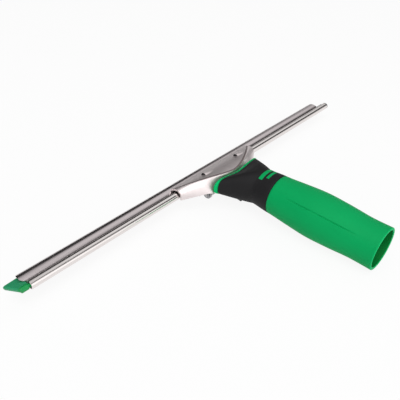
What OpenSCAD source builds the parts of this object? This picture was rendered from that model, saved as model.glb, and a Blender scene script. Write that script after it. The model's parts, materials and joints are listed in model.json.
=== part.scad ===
// Window cleaning squeegee: a clamp head holds a rolled steel channel with a
// rubber blade, and a two-material grip ends in a socket for a pole.
// Tool frame: X runs along the channel, Y points from the grip to the blade,
// the channel's round tube has its axis at Y = 0, Z = 0, and the grip's axis
// is parallel to Y. seat() turns the whole tool until it lies on Z = 0.

/* [Channel] */
// Length of the steel channel
channel_l = 350; // [250:5:450]
// Thickness of the channel's sheet steel
sheet_t = 0.6; // [0.5:0.05:0.7]
// Outer diameter of the round tube along the back of the channel
tube_od = 6.3; // [6:0.1:6.6]
// Outer diameter of the hood that is rolled over the rubber
hood_od = 14; // [13.6:0.1:14.4]
// Distance of the hood's centre in front of the tube's axis
hood_forward = 8.2; // [8:0.1:8.4]
// Length over which the hood is cut back at the right end
hood_cut = 9; // [6:0.5:14]
// Lead of the slanted cut at the hood's right end
hood_slant = 3; // [0:0.5:5]
// Length of the hood's rounded tongue past the left end of the tube
tongue_l = 2.8; // [2:0.2:3.6]

/* [Blade] */
// Thickness of the rubber blade
blade_t = 1.9; // [1.6:0.1:2.1]
// Diameter of the bead along the back of the rubber
bead_d = 4.4; // [4:0.1:4.6]
// Slope of the blade below the grip's axis, in degrees
blade_slope = 42; // [38:1:45]
// Place of the bead round the hood's centre, in degrees from forward
bead_place = 110; // [105:1:115]
// Width of the rubber outside the hood
blade_out = 10; // [7:0.5:13]

/* [End fittings] */
// Length of each plug inside the channel's tube
plug_in = 15; // [8:1:25]
// Length of the left plug outside the tube
plug_out = 6.5; // [5:0.5:9]
// Reach of the left clip's fin past the end of the channel
fin_out = 11.4; // [9.5:0.2:14]
// Reach of the left clip's fin in front of the tube's axis
fin_forward = 12.6; // [11:0.2:13.4]
// Thickness of the fin
fin_t = 2.4; // [1.6:0.2:3]
// Slope of the fin, in degrees
fin_slope = 12; // [8:1:16]
// Thickness of the right plug's head
plug_head = 1.2; // [0.8:0.1:2]

/* [Clamp head] */
// Half the width of the upper jaw along the channel
jaw_half = 46; // [42:1:56]
// Thickness of the upper jaw's steel
jaw_t = 1.2; // [1:0.1:1.4]
// Place of the upper jaw's front edge in front of the tube's axis
jaw_front = 6; // [5.6:0.1:6.4]
// Height of the upper jaw's front edge above the tube's axis
jaw_front_z = 3.4; // [3.3:0.05:3.8]
// Rise of the upper jaw's front slope, in degrees
jaw_slope = 30; // [29:0.5:32]
// Distance behind the front edge at which the upper jaw starts to level out
level_back = 6; // [5:0.5:7]
// Slope of the upper jaw at the middle of its crease, in degrees
crest_slope = 3; // [1:0.5:5]
// Place of the crease at the ends of the jaw
crease_end_y = 2.2; // [1.8:0.1:2.6]
// Depth of the skirt below the tube's axis at the jaw's ends
skirt_low = 1.8; // [1.4:0.1:2.2]
// Distance between the two flush rivets
rivet_pitch = 24; // [20:1:26]
// Place of the rivets and the louvres behind the tube's axis
rivet_back = 4.3; // [4:0.1:4.5]
// Diameter of the rivet shanks
rivet_d = 3; // [2.4:0.1:3.4]
// Place of each pressed louvre's open end beside the middle of the jaw
louvre_x = 20; // [18:1:24]
// Length of each louvre
louvre_l = 9; // [7:0.5:11]
// Width of each louvre at its open end
louvre_w = 4.6; // [4:0.2:5.2]
// Height of each louvre at its open end
louvre_h = 1.1; // [0.8:0.1:1.3]
// Thickness of the head frame's steel
frame_t = 2; // [1.6:0.1:2.2]
// Width of the tang inside the grip
tang_w = 24; // [18:1:28]
// Length of the tang inside the grip
tang_l = 30; // [26:1:32]

/* [Lower jaw and trigger] */
// Place of the hinge behind the tube's axis
hinge_back = 11.5; // [11:0.1:12]
// Depth of the hinge below the tube's axis
hinge_drop = 4.6; // [4.3:0.1:4.9]
// Diameter of the hinge pin
pin_d = 3.2; // [2.8:0.1:3.4]
// Distance between the outer faces of the hinge ears
ear_span = 46; // [42:1:47]
// Half the width of the lower jaw
lower_half = 27; // [24:1:44]
// Thickness of the lower jaw's steel
lower_t = 1.5; // [1.2:0.1:1.6]
// Thickness of the lower jaw's arms
arm_t = 2; // [1.6:0.1:2.2]
// Distance between the inner faces of the lower jaw's arms
arm_gap = 16; // [15:0.5:17]
// Width of the trigger's finger plate
trigger_w = 21; // [20.5:0.5:23]
// Place of the trigger's tail behind the tube's axis
trigger_back = 36; // [34:0.5:37]
// Thickness of the finger plate
trigger_t = 2.2; // [1.8:0.1:2.6]
// Height of the underside of the trigger's arms below the tube's axis
trigger_down = 3.1; // [2.8:0.1:3.4]
// Diameter of the spring wire
wire_d = 0.8; // [0.6:0.1:0.9]
// Outer diameter of the spring
spring_d = 6; // [5:0.2:6.6]
// Number of turns of the spring
turns = 4; // [3:1:4]
// Place of the spring behind the tube's axis
spring_back = 25; // [24:0.5:26]

/* [Grip] */
// Height of the grip's axis above the tube's axis
grip_up = 9.4; // [9:0.2:10]
// Length of the green grip sleeve
grip_l = 84.8; // [78:0.2:110]
// Radius of the sleeve at its open end
end_r = 16; // [15.6:0.1:16.4]
// Radius of the sleeve in front of the open end
throat_r = 15.9; // [15.6:0.1:16.2]
// Radius of the sleeve where the hand closes round it
palm_r = 17; // [16.6:0.1:17.6]
// Largest radius of the sleeve
belly_r = 17.6; // [17:0.1:18.4]
// Radius of the sleeve behind the neck
shoulder_r = 16.6; // [16.2:0.1:17]
// Radius of the sleeve where it meets the neck
border_r = 15.4; // [15.2:0.1:15.8]
// Length of the black neck from the rim to the sleeve
neck_l = 40.6; // [39:0.2:42]
// Radius of the neck at its waist
waist_r = 14.4; // [14.2:0.1:14.8]
// Place of the waist behind the neck's front
waist_back = 25.4; // [24.6:0.2:26.4]
// Distance of the neck's front behind the tube's axis
neck_back = 20.4; // [20:0.1:21]
// Half the width of the neck at its front
front_half = 27; // [25:0.2:28]
// Height of the neck's lower edge at its front above the tube's axis
front_low = 2; // [1:0.2:2.4]
// Height of the neck's top at its front above the tube's axis
front_top = 13.2; // [12.8:0.1:13.6]
// Corner radius of the neck at its front
front_corner = 5; // [4.5:0.1:5.4]
// Thickness of the green rim in front of the neck
rim_t = 2.6; // [2:0.1:3.2]
// Thickness of the black rubber over the core
skin_t = 1.8; // [1.4:0.1:2.2]

/* [Pole socket] */
// Diameter of the socket's bore
socket_d = 22; // [20:0.2:22.6]
// Length of the socket's bore
socket_l = 60; // [40:1:61]
// Wall of the socket's liner
liner_t = 1.2; // [1:0.1:1.4]
// Wall of the core round the liner
core_wall = 1.2; // [1:0.1:1.4]
// Depth of the wide mouth in front of the socket
mouth_l = 12; // [9:0.5:14]
// Wall of the sleeve round the mouth
mouth_wall = 2; // [1.6:0.1:2.2]

/* [Fits] */
// Clearance between pieces that are pressed or clipped together
seat_gap = 0.05; // [0.03:0.01:0.08]
// Clearance of each running fit, on the radius
run_gap = 0.06; // [0.04:0.01:0.09]
// Clearance between the channel and the jaws' pads
pad_gap = 0.3; // [0.25:0.05:0.35]

/* [Hidden] */
$fn = 64;
soft_fn = 32;

// Points in the YZ plane are pairs [y, z]
function turn(p, a) = [p[0] * cos(a) - p[1] * sin(a), p[0] * sin(a) + p[1] * cos(a)];
function unit(a) = [cos(a), sin(a)];
function mix(a, b, t) = a + (b - a) * t;

// Channel
tube_r = tube_od / 2;
hood_r = hood_od / 2;
hood_reach = tube_r + hood_r - sheet_t;
hood_c = [hood_forward, -sqrt(hood_reach * hood_reach - hood_forward * hood_forward)];
hood_mid = hood_r - sheet_t / 2;
left_x = -channel_l / 2;
right_x = channel_l / 2;

// Blade: bead in the hood, blade leaving it down and forward
bead_r = bead_d / 2;
bead_c = hood_c + (hood_r - sheet_t - bead_r - seat_gap) * unit(bead_place);
blade_u = unit(-blade_slope);
blade_n = unit(90 - blade_slope);
// Distance along the blade at which a line beside it crosses the hood's mid line
function crossing(side) = let (d = bead_c + side * blade_n - hood_c, k = d * blade_u)
    -k + sqrt(k * k - d * d + hood_mid * hood_mid);
lip_side = blade_t / 2 + seat_gap + sheet_t / 2;
hood_exit = crossing(lip_side);
hood_edge = bead_c + hood_exit * blade_u + lip_side * blade_n - hood_c;
hood_end = atan2(hood_edge[1], hood_edge[0]);
hood_start = atan2(-hood_c[1], -hood_c[0]);
blade_l = hood_exit + blade_out;
tip_c = bead_c + blade_l * blade_u;
tip_low = tip_c - blade_t / 2 * blade_n;
tip_front = tip_c + blade_t / 2 * blade_n;
blade_right = right_x - hood_cut - hood_slant - seat_gap;
floor_start = (tube_r - sheet_t / 2) * unit(-50);
floor_bend = bead_c + (bead_r + 0.2) * blade_u - (lip_side + seat_gap) * blade_n;
floor_knee = floor_bend + [-0.4, 0.1];
floor_end = bead_c + (hood_exit + 0.4) * blade_u - lip_side * blade_n;

// Upper jaw: outer surface of the plate, crease and skirt
pan_back = -neck_back + 0.3;
crease_back_y = pan_back + 1.7;
jaw_curve = (tan(jaw_slope) - tan(crest_slope)) / 2 / (jaw_front - pan_back - 0.3 - level_back);
function plate_z(y) = let (u = jaw_front - y, k = max(0, u - level_back))
    jaw_front_z + u * tan(jaw_slope) - jaw_curve * k * k;
skirt_back = 0.6;
skirt_rise = 0.16;
function crease_y(x) = mix(crease_back_y, crease_end_y, pow(abs(x) / jaw_half, 1.4));
function crease(x) = let (y = crease_y(x)) [y, plate_z(y)];
function skirt(x) = let (in = jaw_half - abs(x))
    [max(pan_back, -4.9 - in * skirt_back), min(2.4, -skirt_low + in * skirt_rise)];
function bulge(x) = mix(0.4, 3.9, pow(abs(x) / jaw_half, 2));
function skirt_point(x, t) = let (c = crease(x), s = skirt(x), d = (s - c) / norm(s - c),
    p = mix(c, s, t) + bulge(x) * 4 * t * (1 - t) * [d[1], -d[0]])
    [max(p[0], pan_back), p[1]];
function plate_point(x, t) = let (y = mix(jaw_front, crease_y(x), t)) [y, plate_z(y)];
function jaw_line(x) = concat([for (i = [0 : 5]) plate_point(x, i / 5)],
    [for (i = [1 : 5]) skirt_point(x, i / 5)]);
// The same line moved inwards by the sheet's thickness
function inner(line, d) = [for (i = [0 : len(line) - 1])
    let (a = line[max(i - 1, 0)], b = line[min(i + 1, len(line) - 1)], v = (b - a) / norm(b - a))
    line[i] + d * [-v[1], v[0]]];
function reversed(line) = [for (i = [len(line) - 1 : -1 : 0]) line[i]];

// Web of the head frame, under the jaw's plate
web_gap = seat_gap + 0.12;
web_front = -2.2;
web_back = -11.8;
function web_z(y) = plate_z(y) - jaw_t / cos(jaw_slope) - web_gap;

// Rivets through the front slope
rivet_x = rivet_pitch / 2;
rivet_at = [-rivet_back, plate_z(-rivet_back)];
rivet_head_r = rivet_d / 2 + 0.9;
rivet_head_t = 0.6;
rivet_sink = 0.1;
rivet_tail_t = 0.8;
rivet_slope = atan(tan(jaw_slope) - 2 * jaw_curve * (jaw_front + rivet_back - level_back));
rivet_grip = (jaw_t + frame_t) / cos(jaw_slope) + web_gap + 0.1;

// Hinge
hinge = [-hinge_back, -hinge_drop];
ear_t = frame_t;
ear_x = ear_span / 2;
lug_x = arm_gap / 2 + arm_t;
bore_r = pin_d / 2 + run_gap;
lug_r = pin_d / 2 + 2;
clip_t = 0.8;
clip_r = pin_d / 2 + 1.3;
pin_end = ear_x + seat_gap + clip_t + 0.5;

// Lower jaw: mid line of its plate, under the channel's floor
under = lower_t / 2 + 2;
lower_line = [[-hinge_back + lug_r + 1, -tube_r - under], floor_knee - [0.6, under + 0.3],
    floor_end + under * [-blade_n[0], -blade_n[1]] + [-0.6, 0]];
arm_back = trigger_back - 7;
trigger_top = -trigger_down;
trigger_rise = 2.5;
block_top = trigger_top + trigger_rise;
pin_back_y = [-19.5, -arm_back + 1.6];
pin_back_z = trigger_top + 1.1;
trigger_pin_r = 1.1;

// Grip
neck_front = -neck_back;
grip_front = neck_front - neck_l;
waist_y = neck_front - waist_back;
grip_end = grip_front - grip_l;
mouth_r = end_r - mouth_wall;
liner_r = socket_d / 2 + liner_t;
core_r = liner_r + seat_gap + core_wall;
core_end = grip_end + mouth_l;
socket_bottom = core_end + socket_l;
slot_half = trigger_w / 2 + 1;
slot_top = 4.2;
slot_back = -(trigger_back + 2);
tang_z = web_z(web_back) - frame_t / cos(jaw_slope);
tang_end = neck_front - tang_l;
notch_w = tang_w + 0.6;
notch_y = neck_front + 6.4;
tang_pin_r = 2;
tang_pin_y = [tang_end + 15, tang_end + 6];
bar_depth = 1.2;

// Radius of the sleeve at a share t of its length from the open end
grip_keys = [end_r, throat_r, palm_r, belly_r, shoulder_r, border_r];
key_count = len(grip_keys) - 1;
function key(i) = grip_keys[min(max(i, 0), key_count)];
function grip_r(t) = let (s = t * key_count, i = min(floor(s), key_count - 1), f = s - i,
    m0 = (key(i + 1) - key(i - 1)) / 2, m1 = (key(i + 2) - key(i)) / 2, f2 = f * f, f3 = f2 * f)
    (2 * f3 - 3 * f2 + 1) * key(i) + (f3 - 2 * f2 + f) * m0
    + (3 * f2 - 2 * f3) * key(i + 1) + (f3 - f2) * m1;

// The tool lies on the blade's edge and on the rim of the grip's open end
rest_back = [grip_end, grip_up - end_r];
tilt = atan2(rest_back[1] - tip_low[1], tip_low[0] - rest_back[0]);
lift = -turn(tip_low, tilt)[1];
box_back = turn([grip_end, grip_up + end_r], tilt)[0];
box_front = turn(tip_front, tilt)[0];
shift_y = -(box_back + box_front) / 2;
shift_x = (fin_out - plug_head) / 2;

module seat() translate([shift_x, shift_y, lift]) rotate([tilt, 0, 0]) children();

// Extrudes a YZ outline from x0 to x1
module along_x(x0, x1) translate([x0, 0, 0]) rotate([90, 0, 90])
    linear_extrude(x1 - x0) children();

// Round bar or bore along Y from y0 to y1, on the grip's axis
module along_y(r, y0, y1) translate([0, y1, grip_up]) rotate([90, 0, 0])
    cylinder(r = r, h = y1 - y0);

module both_sides() {
    children();
    mirror([1, 0, 0]) children();
}

module disc_at(p, r) translate(p) circle(r = r);

module ring(r_out, r_in) difference() {
    circle(r = r_out);
    circle(r = r_in);
}

module ring_sector(r_out, r_in, a0, a1) intersection() {
    ring(r_out, r_in);
    polygon(concat([[0, 0]], [for (i = [0 : 8]) 2 * r_out * unit(mix(a0, a1, i / 8))]));
}

// Band of width w along a line of points, with round joints
module band(line, w) for (i = [0 : len(line) - 2]) {
    v = line[i + 1] - line[i];
    translate(line[i]) rotate(atan2(v[1], v[0])) translate([0, -w / 2]) square([norm(v), w]);
    disc_at(line[i], w / 2);
    disc_at(line[i + 1], w / 2);
}

module blade_outline(grow) {
    disc_at(bead_c, bead_r + grow);
    translate(bead_c) rotate(-blade_slope) translate([0, -blade_t / 2 - grow])
        square([blade_l, blade_t + 2 * grow]);
}

module channel_outline() {
    ring(tube_r, tube_r - sheet_t);
    difference() {
        union() {
            translate(hood_c) ring_sector(hood_r, hood_r - sheet_t, hood_end, hood_start);
            band([floor_start, floor_knee, floor_bend, floor_end], sheet_t);
        }
        circle(r = tube_r - sheet_t);
        blade_outline(seat_gap);
    }
}

// Space that the channel needs in the jaws, as one filled outline
module channel_space(grow) {
    circle(r = tube_r + grow);
    disc_at(hood_c, hood_r + grow);
    band([floor_start, floor_knee, floor_bend, floor_end], sheet_t + 2 * grow);
}

// Plan of the hood's left end: a tongue that rounds off in front and slants back to the tube
tongue_top = hood_c[1] + hood_r / 3;
tongue_end = left_x - tongue_l;
tongue_plan = [[left_x + 1.8, tube_r + 0.2], [left_x - 1.2, hood_forward - 3.6],
    [tongue_end, hood_forward - 2], [tongue_end, hood_forward + 1],
    for (i = [1 : 8]) [tongue_end + tongue_l * (1 - cos(11.25 * i)),
        hood_forward + 1 + 5 * sin(11.25 * i)],
    [left_x + 1.6, hood_forward + hood_r + 1]];

module channel() color("silver") difference() {
    along_x(tongue_end, right_x) channel_outline();
    // Right end: the hood is cut back on a slant, the tube runs on
    translate([0, 0, -hood_od]) linear_extrude(2 * hood_od) polygon([
        [right_x - hood_cut - hood_slant, tube_r + 0.9], [right_x + 1, tube_r + 0.9],
        [right_x + 1, 2 * hood_od], [right_x - hood_cut, 2 * hood_od],
        [right_x - hood_cut, hood_forward + hood_r - 3]]);
    // Left end: only the top of the hood runs past the tube
    translate([tongue_end - 1, -hood_od, -2 * hood_od])
        cube([tongue_l + 1, 3 * hood_od, 2 * hood_od + tongue_top]);
    translate([0, 0, -hood_od]) linear_extrude(2 * hood_od) polygon(concat(
        [[left_x + 0.01, -hood_od], [left_x + 0.01, tube_r + 0.15]], tongue_plan,
        [[tongue_end - 1, hood_forward + hood_r + 1], [tongue_end - 1, -hood_od]]));
}

module blade() color("dimgray")
    along_x(left_x + seat_gap, blade_right) blade_outline(0);

module left_end_clip() color("mediumseagreen") {
    translate([left_x - plug_out, 0, 0]) rotate([0, 90, 0])
        cylinder(r = tube_r - sheet_t - seat_gap, h = plug_out + plug_in);
    difference() {
        fin();
        // Room for the hood's tongue
        along_x(tongue_end - 4 * seat_gap, left_x) difference() {
            disc_at(hood_c, hood_r + 4 * seat_gap);
            disc_at(hood_c, hood_r - sheet_t - 4 * seat_gap);
        }
    }
}

module fin() intersection() {
        rotate([-fin_slope, 0, 0]) translate([0, 0, -fin_t / 2]) linear_extrude(fin_t) polygon([
            [left_x - seat_gap, -2], [left_x - plug_out + 0.6, -2],
            [left_x - fin_out, fin_forward - 2], [left_x - fin_out, fin_forward],
            [left_x - seat_gap, fin_forward]]);
        translate([left_x - fin_out, -3, -hood_od]) cube([fin_out - seat_gap, 3 * hood_od, 2 * hood_od]);
}

module right_end_plug() color("dimgray") {
    translate([right_x - plug_in, 0, 0]) rotate([0, 90, 0])
        cylinder(r = tube_r - sheet_t - seat_gap, h = plug_in + seat_gap);
    translate([right_x, 0, 0]) rotate([0, 90, 0]) cylinder(r = tube_r - 0.1, h = plug_head);
}

// Stamped cover: plate over the hood, skirt wrapped round the tube
jaw_steps = 30;
jaw_xs = [for (i = [0 : jaw_steps]) mix(-jaw_half, jaw_half, i / jaw_steps)];
jaw_loops = [for (x = jaw_xs) let (line = jaw_line(x))
    [for (p = concat(line, reversed(inner(line, jaw_t)))) [x, p[0], p[1]]]];

module loft(loops) {
    n = len(loops[0]);
    last = len(loops) - 1;
    points = [for (loop = loops) for (p = loop) p];
    sides = [for (k = [0 : last - 1]) for (i = [0 : n - 1]) let (j = (i + 1) % n)
        for (f = [[k * n + i, (k + 1) * n + j, k * n + j],
            [k * n + i, (k + 1) * n + i, (k + 1) * n + j]]) f];
    half = n / 2;
    // The end faces are strips between the outer and the inner line
    ends = [for (i = [0 : half - 2]) for (f = [[i, n - 2 - i, n - 1 - i], [i, i + 1, n - 2 - i]]) f];
    polyhedron(points, concat(sides, ends, [for (f = ends) [for (v = reversed(f)) v + last * n]]));
}

// Places its children on the cover's front slope at x, with their Z out of the sheet
module on_slope(x) translate([x, rivet_at[0], rivet_at[1]]) rotate([-rivet_slope, 0, 0]) children();

module rivet_bores(r) for (x = [-rivet_x, rivet_x]) on_slope(x)
    cylinder(r = r, h = hood_od, center = true);

// Pressed ridge that tapers from its open left end to nothing
louvre_section = [for (i = [0 : 8]) let (a = 22.5 * i) [louvre_w / 2 * cos(a), louvre_h * sin(a)]];
module louvre() hull() {
    rotate([90, 0, 90]) linear_extrude(0.4) polygon(concat(louvre_section,
        [[-louvre_w / 2, -jaw_t / 2], [louvre_w / 2, -jaw_t / 2]]));
    translate([louvre_l - 0.4, -0.4, -jaw_t / 2]) cube([0.4, 0.8, jaw_t / 2]);
}

module upper_jaw() color("lightgray") difference() {
    union() {
        loft(jaw_loops);
        for (x = [-louvre_x, louvre_x]) on_slope(x) louvre();
    }
    rivet_bores(rivet_d / 2 + seat_gap);
    for (x = [-rivet_x, rivet_x]) on_slope(x)
        translate([0, 0, -rivet_sink - rivet_head_t - seat_gap])
            cylinder(r = rivet_head_r + seat_gap, h = hood_od);
    // Notch in the skirt for the tang and the lower jaw's arms
    translate([-notch_w / 2, pan_back - jaw_t, -hood_od])
        cube([notch_w, notch_y - pan_back + jaw_t, hood_od + tang_z + frame_t + seat_gap]);
}

// Rubber lining between the cover and the channel
module upper_pad() color("black") along_x(-jaw_half + 1, jaw_half - 1) difference() {
    polygon([[jaw_front - 0.6, plate_z(jaw_front) - 0.6 - jaw_t / cos(jaw_slope)],
        [-1.2, 4.6], [-3.2, 3.6], [-4.1, 1.4], [-4.1, -0.6], [-3, -0.6], [3, 0]]);
    channel_space(pad_gap);
}

// Web under the cover, two hinge ears and the tang inside the grip
module web_outline(back) {
    ys = [for (i = [0 : 5]) mix(web_front, back, i / 5)];
    polygon(concat([for (y = ys) [y, web_z(y)]],
        [for (y = reversed(ys)) [y, web_z(y) - frame_t / cos(jaw_slope)]]));
}

module head_frame() color("gray") difference() {
    union() {
        along_x(-rivet_x - 4, rivet_x + 4) web_outline(-rivet_back - 3);
        along_x(-ear_x, ear_x) web_outline(-hinge_back + 2);
        along_x(-tang_w / 2 - 1, tang_w / 2 + 1) web_outline(web_back);
        both_sides() along_x(ear_x - ear_t, ear_x) hull() {
            disc_at(hinge, lug_r);
            polygon([[-5, 6], [-hinge_back + 0.3, 6], [-hinge_back + 1, 7.6], [-5, 7.8]]);
        }
        translate([-tang_w / 2, tang_end, tang_z])
            cube([tang_w, web_back + 0.6 - tang_end, frame_t]);
    }
    rivet_bores(rivet_d / 2 + seat_gap);
    along_x(-ear_x - 1, ear_x + 1) disc_at(hinge, pin_d / 2 + seat_gap);
    for (y = tang_pin_y) translate([0, y, 0]) cylinder(r = tang_pin_r + seat_gap, h = 30);
}

// Rivets with heads sunk flush into the cover
module jaw_rivets() color("gainsboro") for (x = [-rivet_x, rivet_x]) on_slope(x) {
        translate([0, 0, -rivet_grip - rivet_tail_t / 2])
            cylinder(r = rivet_d / 2, h = rivet_grip - rivet_head_t / 2);
        translate([0, 0, -rivet_sink - rivet_head_t]) cylinder(r = rivet_head_r,
            h = rivet_head_t);
        translate([0, 0, -rivet_grip - rivet_tail_t]) cylinder(r = rivet_d / 2 + 0.8,
            h = rivet_tail_t);
    }

// Outer form of the neck: a flat wide front that rounds into the grip
module front_slab(inset, depth) translate([0, neck_front, 0]) rotate([90, 0, 0])
    linear_extrude(depth) hull() both_sides() {
        for (z = [front_low + front_corner, front_top - front_corner])
            translate([front_half - front_corner, z])
                circle(r = front_corner - inset, $fn = soft_fn);
    }

module waist_disc(inset, depth) translate([0, waist_y, grip_up]) rotate([90, 0, 0])
    cylinder(r = waist_r - inset, h = depth, $fn = soft_fn);

module neck_form(inset) {
    hull() {
        front_slab(inset, 1);
        waist_disc(inset, 1);
    }
    translate([0, waist_y, grip_up]) rotate([90, 0, 0])
        cylinder(r1 = waist_r - inset, r2 = border_r - inset, h = waist_y - grip_front);
}

// Room for the trigger, open to the front and to below
module trigger_slot() translate([-slot_half, slot_back, -2 * hood_od])
    cube([2 * slot_half, neck_front + rim_t - slot_back, 2 * hood_od + slot_top]);

module tang_space(grow) translate([-tang_w / 2 - grow, tang_end - grow, tang_z - grow])
    cube([tang_w + 2 * grow, tang_l + rim_t, frame_t + 2 * grow]);

module handle_core() color("seagreen") difference() {
    union() {
        intersection() {
            neck_form(0);
            translate([-40, neck_front - rim_t, -30]) cube([80, rim_t, 80]);
        }
        difference() {
            neck_form(skin_t);
            translate([-40, grip_front - 1, -30]) cube([80, 1.5, 80]);
        }
        along_y(core_r, core_end, grip_front + 0.5);
    }
    trigger_slot();
    tang_space(seat_gap);
    along_y(liner_r + seat_gap, core_end - 1, socket_bottom);
    for (y = tang_pin_y) translate([0, y, slot_top]) cylinder(r = tang_pin_r + seat_gap, h = 10);
    translate([0, -spring_back, 0]) cylinder(d = spring_d + 0.8, h = tang_z + seat_gap);
}

module tang_pins() color("darkgray") for (y = tang_pin_y)
    translate([0, y, slot_top + 1]) cylinder(r = tang_pin_r, h = 8.5);

// Two plain bars across the top of the neck
bar_places = [[-47, 3.2, 8], [-52, 2.4, 5.5]];
module bar_pockets(grow) difference() {
    for (bar = bar_places) translate([-bar[2] - grow, bar[0] - bar[1] - grow, grip_up])
        cube([2 * (bar[2] + grow), bar[1] + 2 * grow, belly_r]);
    translate([0, 0, -bar_depth - grow]) neck_form(0);
}

module neck_grip() color("black") difference() {
    neck_form(0);
    neck_form(skin_t - seat_gap / 2);
    translate([-40, neck_front - rim_t, -30]) cube([80, 30, 80]);
    trigger_slot();
    bar_pockets(seat_gap);
}

module accent_bars() color("seagreen") intersection() {
    neck_form(0);
    bar_pockets(0);
}

module grip_sleeve() color("mediumseagreen") difference() {
    translate([0, grip_front, grip_up]) rotate([90, 0, 0]) rotate_extrude() polygon(concat(
        [[0, 0]], [for (i = [24 : -1 : 0]) [grip_r(i / 24), grip_l * (1 - i / 24)]], [[0, grip_l]]));
    along_y(core_r, core_end, grip_front + 1);
    along_y(mouth_r, grip_end - 1, core_end);
}

module socket_liner() color("darkslategray") difference() {
    union() {
        along_y(liner_r, core_end - 1.5, socket_bottom - seat_gap);
        along_y(core_r - 0.2, core_end - 1.5, core_end);
    }
    along_y(socket_d / 2, core_end - 2, socket_bottom - seat_gap - liner_t);
}

module hinge_pin() color("silver") along_x(-pin_end, pin_end) disc_at(hinge, pin_d / 2);

module pin_clips() color("dimgray") both_sides()
    along_x(ear_x + seat_gap, ear_x + seat_gap + clip_t)
        translate(hinge) ring(clip_r, pin_d / 2 + seat_gap);

module hinge_bushes() color("white") both_sides()
    along_x(lug_x + run_gap, ear_x - ear_t - seat_gap)
        translate(hinge) ring(pin_d / 2 + 1.2, pin_d / 2 + seat_gap);

// Compression spring between the tang and the trigger
spring_low = block_top + seat_gap + wire_d / 2;
spring_high = tang_z - seat_gap - wire_d / 2;
coil_r = (spring_d - wire_d) / 2;
ring_steps = 20;
wire_sides = 8;
function helix(t) = [coil_r * cos(360 * t), coil_r * sin(360 * t)];
spring_loops = [for (i = [0 : turns * ring_steps]) let (t = i / ring_steps)
    [for (k = [0 : wire_sides - 1]) let (a = -360 * k / wire_sides,
        p = (coil_r + wire_d / 2 * cos(a)) / coil_r * helix(t))
        [p[0], p[1] - spring_back,
            mix(spring_low, spring_high, t / turns) + wire_d / 2 * sin(a)]]];
module return_spring() color("slategray") sweep(spring_loops);

// Joins outlines of n points into one solid with flat ends
module sweep(loops) {
    n = len(loops[0]);
    last = len(loops) - 1;
    polyhedron([for (loop = loops) for (p = loop) p], concat(
        [for (k = [0 : last - 1]) for (i = [0 : n - 1]) let (j = (i + 1) % n)
            for (f = [[k * n + i, (k + 1) * n + j, k * n + j],
                [k * n + i, (k + 1) * n + i, (k + 1) * n + j]]) f],
        [[for (i = [0 : n - 1]) i]], [[for (i = [n - 1 : -1 : 0]) last * n + i]]));
}

module lug_outline() hull() {
    disc_at(hinge, lug_r);
    translate(lower_line[0]) translate([-0.6, -lower_t / 2]) square([2.4, lower_t]);
}

module lower_jaw() color("lightgray") difference() {
    union() {
        along_x(-lower_half, lower_half) band(lower_line, lower_t);
        both_sides() along_x(arm_gap / 2, lug_x) {
            lug_outline();
            polygon([[-hinge_back, hinge[1] + lug_r - 0.3], [-arm_back + 2, block_top + 0.3],
                [-arm_back, block_top], [-arm_back, trigger_top], [-17, trigger_top],
                [-hinge_back, hinge[1] - lug_r + 0.3]]);
        }
    }
    along_x(-lug_x - 1, lug_x + 1) disc_at(hinge, bore_r);
    for (y = pin_back_y) along_x(-lug_x - 1, lug_x + 1)
        disc_at([y, pin_back_z], trigger_pin_r + seat_gap);
}

// Rubber strip on the lower jaw, under the tube and the channel's floor
module lower_pad() color("black") along_x(-lower_half + 1, lower_half - 1) difference() {
    polygon([lower_line[0] + [4.6, 0], lower_line[1], lower_line[1] + [0, 2.6],
        [1.2, -tube_r], [-2.2, -tube_r - 0.4]]);
    channel_space(pad_gap);
    band(lower_line, lower_t);
}

module trigger() color("black") difference() {
    union() {
        along_x(-arm_gap / 2 + seat_gap, arm_gap / 2 - seat_gap) polygon([
            [-17.5, trigger_top - 0.2], [-17.5, block_top - 0.4], [-19, block_top],
            [-arm_back - 0.5, block_top], [-arm_back - 2.4, trigger_top - 0.2]]);
        along_x(-trigger_w / 2, trigger_w / 2) polygon([[-17.6, trigger_top - trigger_t - 1.6],
            [-17.6, trigger_top - 0.1], [-trigger_back + 1, trigger_top - 0.1],
            [-trigger_back, trigger_top - 0.8], [-trigger_back + 0.4, trigger_top - trigger_t],
            [-trigger_back + 6, trigger_top - trigger_t + 0.5],
            [-24, trigger_top - trigger_t - 0.2]]);
    }
    for (y = pin_back_y) along_x(-lug_x, lug_x) disc_at([y, pin_back_z], trigger_pin_r + seat_gap);
}

module trigger_rivets() color("silver") for (y = pin_back_y)
    along_x(-lug_x - 0.3, lug_x + 0.3) disc_at([y, pin_back_z], trigger_pin_r);

seat() upper_jaw();
seat() upper_pad();
seat() head_frame();
seat() jaw_rivets();
seat() handle_core();
seat() tang_pins();
seat() neck_grip();
seat() accent_bars();
seat() grip_sleeve();
seat() socket_liner();
seat() hinge_pin();
seat() pin_clips();
seat() hinge_bushes();
seat() return_spring();
seat() lower_jaw();
seat() lower_pad();
seat() trigger();
seat() trigger_rivets();
seat() channel();
seat() blade();
seat() left_end_clip();
seat() right_end_plug();
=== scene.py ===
"""Looks of the window squeegee: steel channel with its rubber, clamp head, two-material grip."""
import json
import math

import bmesh
import bpy
from mathutils import Matrix, Vector


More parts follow.
